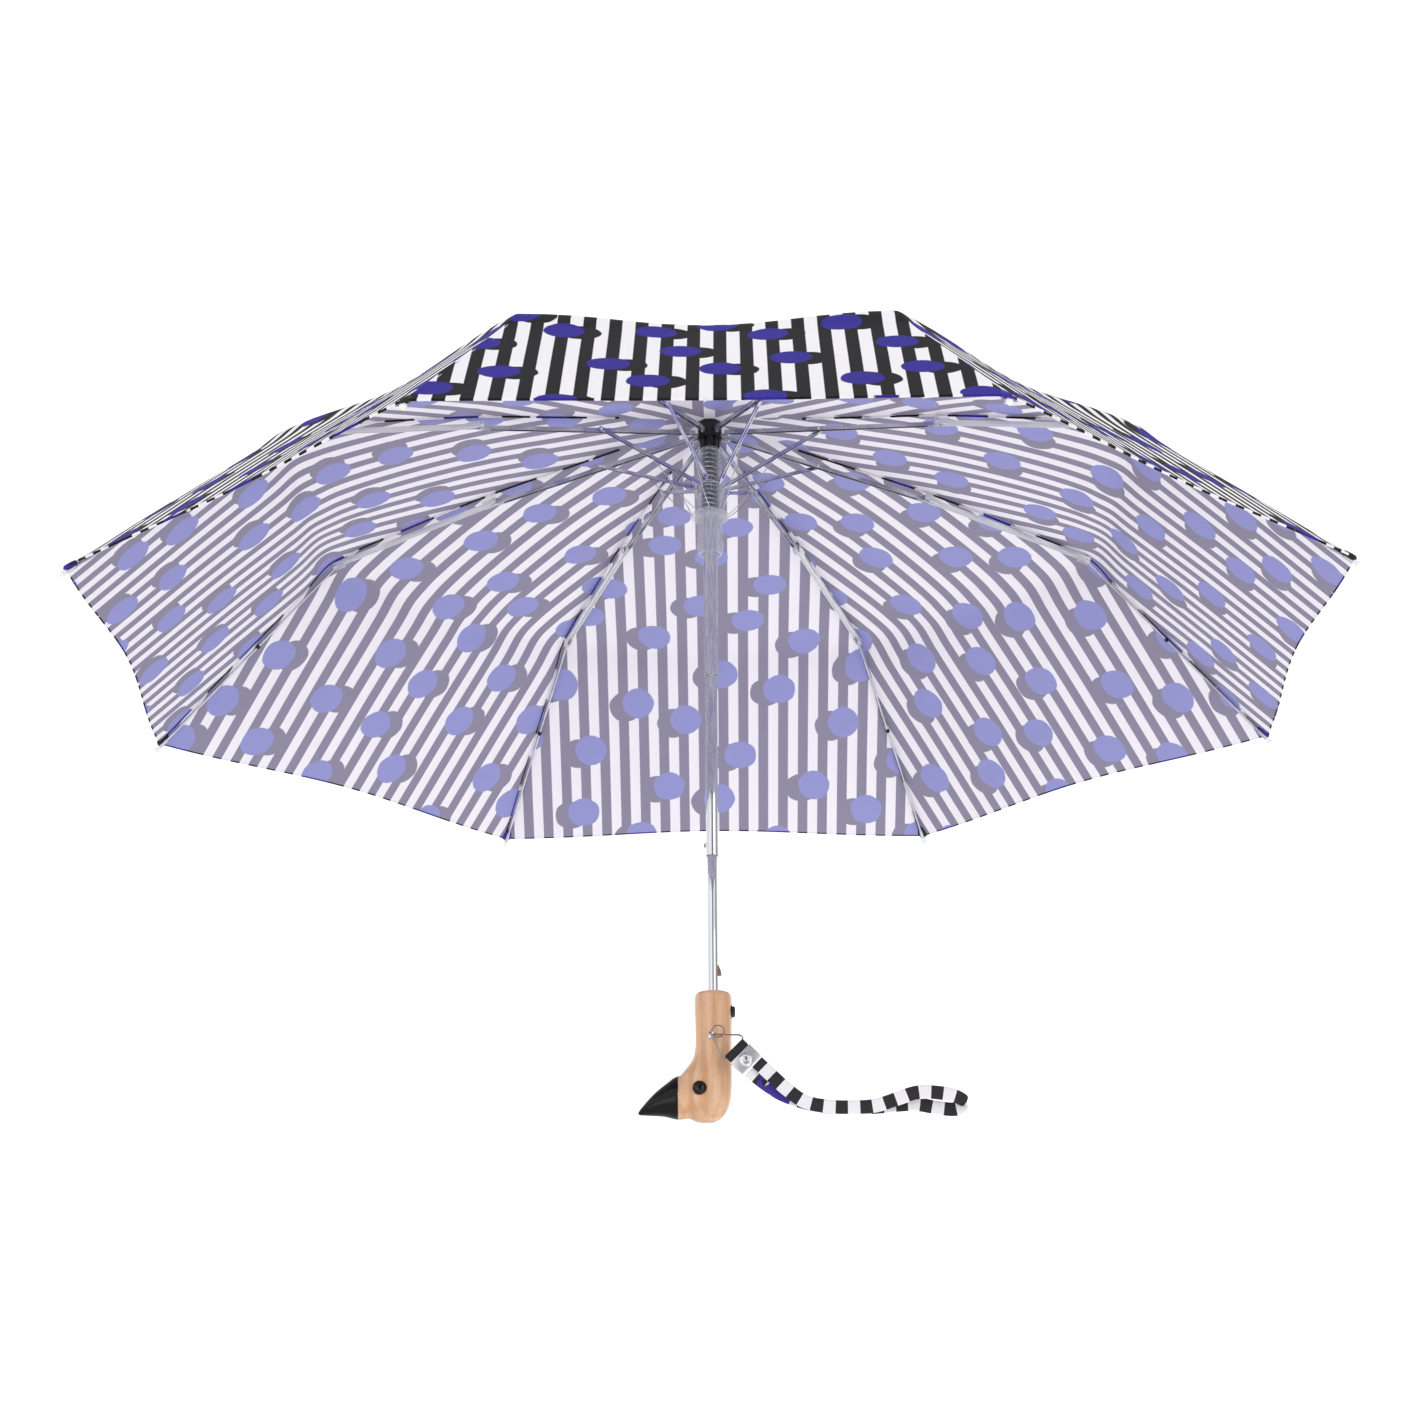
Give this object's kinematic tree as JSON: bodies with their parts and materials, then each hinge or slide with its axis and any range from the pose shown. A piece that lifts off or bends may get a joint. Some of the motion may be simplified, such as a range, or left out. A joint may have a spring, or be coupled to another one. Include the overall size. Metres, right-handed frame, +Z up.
{
  "type": "folding umbrella",
  "caption": "Open compact folding umbrella with a printed cloth canopy, jointed steel ribs, clear runner, telescopic shaft and carved bird's-head handle on a wrist strap.",
  "frame": {"origin": "the hand grip: on the shaft's axis, in the middle of the handle's neck", "axes": "+Z up the shaft to the crown, -X the way the beak points, +X the release button's side"},
  "size_m": [0.914, 0.914, 0.5691],
  "materials": {
    "printed_cloth": "plain-weave pongee printed with black and white stripes and violet dots, paler on its inside",
    "varnished_wood": "carved hardwood under clear gloss varnish, its beak painted gloss black",
    "gloss_black": "gloss domed bead",
    "black_plastic": "satin moulded plastic",
    "clear_plastic": "clear moulded plastic, slightly smoked",
    "clip_plastic": "clear-coated silver plate",
    "chrome": "bright plated steel",
    "rib_steel": "rolled steel channel, satin",
    "light_steel": "pale satin alloy channel",
    "spring_steel": "dark spring wire",
    "catch_metal": "browned metal catch"
  },
  "bodies": {
    "handle": {"handle": "varnished_wood", "eye_left": "gloss_black", "eye_right": "gloss_black", "button_bush": "black_plastic", "lower_tube": "chrome", "screw_eye": "chrome"},
    "release_button": {"release_button": "black_plastic"},
    "closed_catch": {"closed_catch": "catch_metal"},
    "middle_tube": {"middle_tube": "chrome"},
    "tube_catch": {"tube_catch": "rib_steel"},
    "upper_tube": {"upper_tube": "chrome", "crown": "black_plastic", "crown_wire": "rib_steel", "top_cap": "black_plastic", "canopy": "printed_cloth"},
    "runner": {"runner": "clear_plastic", "runner_wire": "rib_steel", "recoil_spring": "spring_steel"},
    "bail": {"bail": "chrome", "strap_fold": "printed_cloth", "strap_clip": "clip_plastic", "snap_rivet": "chrome", "strap": "printed_cloth"},
    "top_rib_1": {"top_rib_1": "rib_steel"},
    "stretcher_1": {"stretcher_1": "rib_steel"},
    "middle_rib_1": {"middle_rib_1": "light_steel"},
    "outer_rib_1": {"outer_rib_1": "rib_steel"},
    "top_rib_2": {"top_rib_2": "rib_steel"},
    "stretcher_2": {"stretcher_2": "rib_steel"},
    "middle_rib_2": {"middle_rib_2": "light_steel"},
    "outer_rib_2": {"outer_rib_2": "rib_steel"},
    "top_rib_3": {"top_rib_3": "rib_steel"},
    "stretcher_3": {"stretcher_3": "rib_steel"},
    "middle_rib_3": {"middle_rib_3": "light_steel"},
    "outer_rib_3": {"outer_rib_3": "rib_steel"},
    "top_rib_4": {"top_rib_4": "rib_steel"},
    "stretcher_4": {"stretcher_4": "rib_steel"},
    "middle_rib_4": {"middle_rib_4": "light_steel"},
    "outer_rib_4": {"outer_rib_4": "rib_steel"},
    "top_rib_5": {"top_rib_5": "rib_steel"},
    "stretcher_5": {"stretcher_5": "rib_steel"},
    "middle_rib_5": {"middle_rib_5": "light_steel"},
    "outer_rib_5": {"outer_rib_5": "rib_steel"},
    "top_rib_6": {"top_rib_6": "rib_steel"},
    "stretcher_6": {"stretcher_6": "rib_steel"},
    "middle_rib_6": {"middle_rib_6": "light_steel"},
    "outer_rib_6": {"outer_rib_6": "rib_steel"},
    "top_rib_7": {"top_rib_7": "rib_steel"},
    "stretcher_7": {"stretcher_7": "rib_steel"},
    "middle_rib_7": {"middle_rib_7": "light_steel"},
    "outer_rib_7": {"outer_rib_7": "rib_steel"},
    "top_rib_8": {"top_rib_8": "rib_steel"},
    "stretcher_8": {"stretcher_8": "rib_steel"},
    "middle_rib_8": {"middle_rib_8": "light_steel"},
    "outer_rib_8": {"outer_rib_8": "rib_steel"}
  },
  "joints": [
    {"name": "release_button_press", "type": "slide", "parent": "handle", "child": "release_button", "axis": [1, 0, 0], "range_m": [-0.0022, 0], "stiffness_N_per_m": 150, "springref_m": 0.004},
    {"name": "closed_catch_slide", "type": "slide", "parent": "handle", "child": "closed_catch", "axis": [1, 0, 0], "range_m": [-0.003, 0]},
    {"name": "lower_telescope", "type": "slide", "parent": "handle", "child": "middle_tube", "axis": [0, 0, 1], "range_m": [-0.083, 0], "stiffness_N_per_m": 60, "springref_m": 0.25},
    {"name": "tube_catch_press", "type": "slide", "parent": "middle_tube", "child": "tube_catch", "axis": [-1, 0, 0], "range_m": [-0.001, 0], "stiffness_N_per_m": 50, "springref_m": 0.003},
    {"name": "upper_telescope", "type": "slide", "parent": "middle_tube", "child": "upper_tube", "axis": [0, 0, 1], "range_m": [-0.132, 0], "stiffness_N_per_m": 60, "springref_m": 0.2},
    {"name": "runner_slide", "type": "slide", "parent": "upper_tube", "child": "runner", "axis": [0, 0, 1], "range_m": [-0.12916, 0], "stiffness_N_per_m": 60, "springref_m": 0.2, "deforming": ["canopy"]},
    {"name": "bail_swing", "type": "hinge", "parent": "handle", "child": "bail", "pos_m": [-0.001, -0.0242, 0.002], "axis": [0, 1, 0], "range_deg": [-25, 40], "deforming": ["strap"]},
    {"name": "top_rib_1_fold", "type": "hinge", "parent": "upper_tube", "child": "top_rib_1", "pos_m": [0.00758, 0.00314, 0.487], "axis": [-0.3827, 0.9239, 0], "range_deg": [0, 80.03]},
    {"name": "stretcher_1_fold", "type": "hinge", "parent": "runner", "child": "stretcher_1", "pos_m": [0.0097, 0.00402, 0.444], "axis": [-0.3827, 0.9239, 0], "range_deg": [-66.42, 0]},
    {"name": "middle_rib_1_fold", "type": "hinge", "parent": "top_rib_1", "child": "middle_rib_1", "pos_m": [0.17369, 0.07194, 0.465], "axis": [-0.3827, 0.9239, 0], "range_deg": [-183.38, 0]},
    {"name": "outer_rib_1_fold", "type": "hinge", "parent": "middle_rib_1", "child": "outer_rib_1", "pos_m": [0.30673, 0.12705, 0.432], "axis": [-0.3827, 0.9239, 0], "range_deg": [0, 151.87]},
    {"name": "top_rib_2_fold", "type": "hinge", "parent": "upper_tube", "child": "top_rib_2", "pos_m": [0.00314, 0.00758, 0.487], "axis": [-0.9239, 0.3827, 0], "range_deg": [0, 80.03]},
    {"name": "stretcher_2_fold", "type": "hinge", "parent": "runner", "child": "stretcher_2", "pos_m": [0.00402, 0.0097, 0.444], "axis": [-0.9239, 0.3827, 0], "range_deg": [-66.42, 0]},
    {"name": "middle_rib_2_fold", "type": "hinge", "parent": "top_rib_2", "child": "middle_rib_2", "pos_m": [0.07194, 0.17369, 0.465], "axis": [-0.9239, 0.3827, 0], "range_deg": [-183.38, 0]},
    {"name": "outer_rib_2_fold", "type": "hinge", "parent": "middle_rib_2", "child": "outer_rib_2", "pos_m": [0.12705, 0.30673, 0.432], "axis": [-0.9239, 0.3827, 0], "range_deg": [0, 151.87]},
    {"name": "top_rib_3_fold", "type": "hinge", "parent": "upper_tube", "child": "top_rib_3", "pos_m": [-0.00314, 0.00758, 0.487], "axis": [-0.9239, -0.3827, 0], "range_deg": [0, 80.03]},
    {"name": "stretcher_3_fold", "type": "hinge", "parent": "runner", "child": "stretcher_3", "pos_m": [-0.00402, 0.0097, 0.444], "axis": [-0.9239, -0.3827, 0], "range_deg": [-66.42, 0]},
    {"name": "middle_rib_3_fold", "type": "hinge", "parent": "top_rib_3", "child": "middle_rib_3", "pos_m": [-0.07194, 0.17369, 0.465], "axis": [-0.9239, -0.3827, 0], "range_deg": [-183.38, 0]},
    {"name": "outer_rib_3_fold", "type": "hinge", "parent": "middle_rib_3", "child": "outer_rib_3", "pos_m": [-0.12705, 0.30673, 0.432], "axis": [-0.9239, -0.3827, 0], "range_deg": [0, 151.87]},
    {"name": "top_rib_4_fold", "type": "hinge", "parent": "upper_tube", "child": "top_rib_4", "pos_m": [-0.00758, 0.00314, 0.487], "axis": [-0.3827, -0.9239, 0], "range_deg": [0, 80.03]},
    {"name": "stretcher_4_fold", "type": "hinge", "parent": "runner", "child": "stretcher_4", "pos_m": [-0.0097, 0.00402, 0.444], "axis": [-0.3827, -0.9239, 0], "range_deg": [-66.42, 0]},
    {"name": "middle_rib_4_fold", "type": "hinge", "parent": "top_rib_4", "child": "middle_rib_4", "pos_m": [-0.17369, 0.07194, 0.465], "axis": [-0.3827, -0.9239, 0], "range_deg": [-183.38, 0]},
    {"name": "outer_rib_4_fold", "type": "hinge", "parent": "middle_rib_4", "child": "outer_rib_4", "pos_m": [-0.30673, 0.12705, 0.432], "axis": [-0.3827, -0.9239, 0], "range_deg": [0, 151.87]},
    {"name": "top_rib_5_fold", "type": "hinge", "parent": "upper_tube", "child": "top_rib_5", "pos_m": [-0.00758, -0.00314, 0.487], "axis": [0.3827, -0.9239, 0], "range_deg": [0, 80.03]},
    {"name": "stretcher_5_fold", "type": "hinge", "parent": "runner", "child": "stretcher_5", "pos_m": [-0.0097, -0.00402, 0.444], "axis": [0.3827, -0.9239, 0], "range_deg": [-66.42, 0]},
    {"name": "middle_rib_5_fold", "type": "hinge", "parent": "top_rib_5", "child": "middle_rib_5", "pos_m": [-0.17369, -0.07194, 0.465], "axis": [0.3827, -0.9239, 0], "range_deg": [-183.38, 0]},
    {"name": "outer_rib_5_fold", "type": "hinge", "parent": "middle_rib_5", "child": "outer_rib_5", "pos_m": [-0.30673, -0.12705, 0.432], "axis": [0.3827, -0.9239, 0], "range_deg": [0, 151.87]},
    {"name": "top_rib_6_fold", "type": "hinge", "parent": "upper_tube", "child": "top_rib_6", "pos_m": [-0.00314, -0.00758, 0.487], "axis": [0.9239, -0.3827, 0], "range_deg": [0, 80.03]},
    {"name": "stretcher_6_fold", "type": "hinge", "parent": "runner", "child": "stretcher_6", "pos_m": [-0.00402, -0.0097, 0.444], "axis": [0.9239, -0.3827, 0], "range_deg": [-66.42, 0]},
    {"name": "middle_rib_6_fold", "type": "hinge", "parent": "top_rib_6", "child": "middle_rib_6", "pos_m": [-0.07194, -0.17369, 0.465], "axis": [0.9239, -0.3827, 0], "range_deg": [-183.38, 0]},
    {"name": "outer_rib_6_fold", "type": "hinge", "parent": "middle_rib_6", "child": "outer_rib_6", "pos_m": [-0.12705, -0.30673, 0.432], "axis": [0.9239, -0.3827, 0], "range_deg": [0, 151.87]},
    {"name": "top_rib_7_fold", "type": "hinge", "parent": "upper_tube", "child": "top_rib_7", "pos_m": [0.00314, -0.00758, 0.487], "axis": [0.9239, 0.3827, 0], "range_deg": [0, 80.03]},
    {"name": "stretcher_7_fold", "type": "hinge", "parent": "runner", "child": "stretcher_7", "pos_m": [0.00402, -0.0097, 0.444], "axis": [0.9239, 0.3827, 0], "range_deg": [-66.42, 0]},
    {"name": "middle_rib_7_fold", "type": "hinge", "parent": "top_rib_7", "child": "middle_rib_7", "pos_m": [0.07194, -0.17369, 0.465], "axis": [0.9239, 0.3827, 0], "range_deg": [-183.38, 0]},
    {"name": "outer_rib_7_fold", "type": "hinge", "parent": "middle_rib_7", "child": "outer_rib_7", "pos_m": [0.12705, -0.30673, 0.432], "axis": [0.9239, 0.3827, 0], "range_deg": [0, 151.87]},
    {"name": "top_rib_8_fold", "type": "hinge", "parent": "upper_tube", "child": "top_rib_8", "pos_m": [0.00758, -0.00314, 0.487], "axis": [0.3827, 0.9239, 0], "range_deg": [0, 80.03]},
    {"name": "stretcher_8_fold", "type": "hinge", "parent": "runner", "child": "stretcher_8", "pos_m": [0.0097, -0.00402, 0.444], "axis": [0.3827, 0.9239, 0], "range_deg": [-66.42, 0]},
    {"name": "middle_rib_8_fold", "type": "hinge", "parent": "top_rib_8", "child": "middle_rib_8", "pos_m": [0.17369, -0.07194, 0.465], "axis": [0.3827, 0.9239, 0], "range_deg": [-183.38, 0]},
    {"name": "outer_rib_8_fold", "type": "hinge", "parent": "middle_rib_8", "child": "outer_rib_8", "pos_m": [0.30673, -0.12705, 0.432], "axis": [0.3827, 0.9239, 0], "range_deg": [0, 151.87]}
  ],
  "couplings": [
    {"joint": "closed_catch_slide", "follows": "release_button_press", "ratio": 1.3636},
    {"joint": "top_rib_1_fold", "follows": "runner_slide", "rad_per_m": -10.815},
    {"joint": "stretcher_1_fold", "follows": "runner_slide", "rad_per_m": 8.9753},
    {"joint": "middle_rib_1_fold", "follows": "runner_slide", "rad_per_m": 24.779},
    {"joint": "outer_rib_1_fold", "follows": "runner_slide", "rad_per_m": -20.521},
    {"joint": "top_rib_2_fold", "follows": "runner_slide", "rad_per_m": -10.815},
    {"joint": "stretcher_2_fold", "follows": "runner_slide", "rad_per_m": 8.9753},
    {"joint": "middle_rib_2_fold", "follows": "runner_slide", "rad_per_m": 24.779},
    {"joint": "outer_rib_2_fold", "follows": "runner_slide", "rad_per_m": -20.521},
    {"joint": "top_rib_3_fold", "follows": "runner_slide", "rad_per_m": -10.815},
    {"joint": "stretcher_3_fold", "follows": "runner_slide", "rad_per_m": 8.9753},
    {"joint": "middle_rib_3_fold", "follows": "runner_slide", "rad_per_m": 24.779},
    {"joint": "outer_rib_3_fold", "follows": "runner_slide", "rad_per_m": -20.521},
    {"joint": "top_rib_4_fold", "follows": "runner_slide", "rad_per_m": -10.815},
    {"joint": "stretcher_4_fold", "follows": "runner_slide", "rad_per_m": 8.9753},
    {"joint": "middle_rib_4_fold", "follows": "runner_slide", "rad_per_m": 24.779},
    {"joint": "outer_rib_4_fold", "follows": "runner_slide", "rad_per_m": -20.521},
    {"joint": "top_rib_5_fold", "follows": "runner_slide", "rad_per_m": -10.815},
    {"joint": "stretcher_5_fold", "follows": "runner_slide", "rad_per_m": 8.9753},
    {"joint": "middle_rib_5_fold", "follows": "runner_slide", "rad_per_m": 24.779},
    {"joint": "outer_rib_5_fold", "follows": "runner_slide", "rad_per_m": -20.521},
    {"joint": "top_rib_6_fold", "follows": "runner_slide", "rad_per_m": -10.815},
    {"joint": "stretcher_6_fold", "follows": "runner_slide", "rad_per_m": 8.9753},
    {"joint": "middle_rib_6_fold", "follows": "runner_slide", "rad_per_m": 24.779},
    {"joint": "outer_rib_6_fold", "follows": "runner_slide", "rad_per_m": -20.521},
    {"joint": "top_rib_7_fold", "follows": "runner_slide", "rad_per_m": -10.815},
    {"joint": "stretcher_7_fold", "follows": "runner_slide", "rad_per_m": 8.9753},
    {"joint": "middle_rib_7_fold", "follows": "runner_slide", "rad_per_m": 24.779},
    {"joint": "outer_rib_7_fold", "follows": "runner_slide", "rad_per_m": -20.521},
    {"joint": "top_rib_8_fold", "follows": "runner_slide", "rad_per_m": -10.815},
    {"joint": "stretcher_8_fold", "follows": "runner_slide", "rad_per_m": 8.9753},
    {"joint": "middle_rib_8_fold", "follows": "runner_slide", "rad_per_m": 24.779},
    {"joint": "outer_rib_8_fold", "follows": "runner_slide", "rad_per_m": -20.521}
  ]
}
